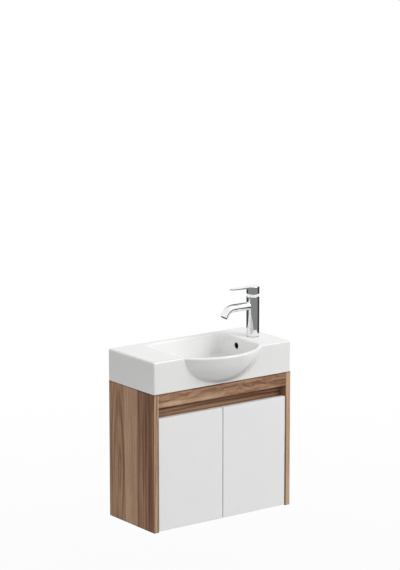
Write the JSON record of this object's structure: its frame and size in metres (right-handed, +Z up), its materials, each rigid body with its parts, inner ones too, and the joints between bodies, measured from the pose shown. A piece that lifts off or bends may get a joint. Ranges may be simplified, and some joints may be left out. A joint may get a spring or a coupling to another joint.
{
  "type": "wall-hung vanity unit with basin",
  "caption": "Wall-hung walnut vanity cabinet with white doors, a ceramic basin whose bowl bulges out at the front, and a chrome single-lever tap on the side ledge.",
  "frame": {"origin": "on the wall plane, at the middle of the cabinet's bottom edge", "axes": "+Z up, +Y into the wall, the doors face -Y, +X to the right of a person at the basin (the tap side)"},
  "size_m": [0.5, 0.2913, 0.6635],
  "materials": {
    "walnut": "satin walnut-effect board, grain upright on the sides and level on the rail",
    "walnut_edging": "satin walnut-effect edging",
    "white_lacquer": "satin white lacquer on board",
    "white_glaze": "glossy white glaze",
    "chrome": "polished",
    "brass": "plain turned",
    "plated_steel": "nickel plated, satin",
    "white_plastic": "smooth moulded",
    "grey_plastic": "satin moulded",
    "black_rubber": "matt",
    "clear_rubber": "soft translucent"
  },
  "bodies": {
    "cabinet": {"left_side_panel": "walnut", "right_side_panel": "walnut", "bottom_panel": "walnut", "front_rail": "walnut", "finger_board": "walnut", "lower_back_rail": "walnut", "upper_back_rail": "walnut", "edge_bands": "walnut_edging", "left_hanger": "plated_steel", "right_hanger": "plated_steel", "hanger_hooks": "plated_steel", "hanger_screws": "plated_steel", "wall_plates": "plated_steel", "left_hinge_plates": "plated_steel", "right_hinge_plates": "plated_steel", "left_plate_screws": "plated_steel", "right_plate_screws": "plated_steel", "left_hinge_arms": "plated_steel", "right_hinge_arms": "plated_steel", "fixing_stud": "plated_steel", "fixing_plate": "plated_steel", "basin": "white_glaze", "waste_body": "chrome", "tap_body": "chrome", "tap_spout": "chrome", "tap_collar": "chrome", "waste_backnut": "brass", "fixing_nut": "brass", "waste_upper_seal": "black_rubber", "waste_lower_seal": "black_rubber", "tap_base_seal": "black_rubber", "fixing_gasket": "black_rubber", "trap_inlet_nut": "white_plastic", "trap_body": "white_plastic", "trap_bottle": "white_plastic", "trap_outlet_nut": "white_plastic", "waste_pipe": "white_plastic", "wall_rose": "white_plastic", "cartridge": "white_plastic", "aerator": "grey_plastic"},
    "left_door": {"left_door": "white_lacquer", "left_hinge_cups": "plated_steel", "left_cup_screws": "plated_steel", "left_bumpers": "clear_rubber"},
    "right_door": {"right_door": "white_lacquer", "right_hinge_cups": "plated_steel", "right_cup_screws": "plated_steel", "right_bumpers": "clear_rubber"},
    "left_links": {"left_hinge_links": "plated_steel"},
    "right_links": {"right_hinge_links": "plated_steel"},
    "lever_carrier": {"cartridge_rotor": "white_plastic"},
    "lever": {"tap_lever": "chrome", "cartridge_stem": "brass", "lever_grub_screw": "plated_steel"},
    "plug": {"waste_plug": "chrome", "plug_stem": "brass"}
  },
  "joints": [
    {"name": "left_door_hinge", "type": "hinge", "parent": "cabinet", "child": "left_door", "pos_m": [-0.224, -0.223, 0.173], "axis": [0, 0, -1], "range_deg": [0, 95]},
    {"name": "left_link_swing", "type": "hinge", "parent": "cabinet", "child": "left_links", "pos_m": [-0.2, -0.2085, 0.173], "axis": [0, 0, 1], "range_deg": [0, 15.1]},
    {"name": "right_door_hinge", "type": "hinge", "parent": "cabinet", "child": "right_door", "pos_m": [0.224, -0.223, 0.173], "axis": [0, 0, 1], "range_deg": [0, 95]},
    {"name": "right_link_swing", "type": "hinge", "parent": "cabinet", "child": "right_links", "pos_m": [0.2, -0.2085, 0.173], "axis": [0, 0, -1], "range_deg": [0, 15.1]},
    {"name": "lever_turn", "type": "hinge", "parent": "cabinet", "child": "lever_carrier", "pos_m": [0.1955, -0.115, 0.64], "axis": [0, 0, 1], "range_deg": [-45, 45]},
    {"name": "lever_lift", "type": "hinge", "parent": "lever_carrier", "child": "lever", "pos_m": [0.1955, -0.115, 0.64], "axis": [0, 1, 0], "range_deg": [0, 18]},
    {"name": "plug_slide", "type": "slide", "parent": "cabinet", "child": "plug", "axis": [0, 0, 1], "range_m": [0, 0.009]}
  ],
  "couplings": [
    {"joint": "left_link_swing", "follows": "left_door_hinge", "ratio": 0.1579},
    {"joint": "right_link_swing", "follows": "right_door_hinge", "ratio": 0.1579}
  ]
}
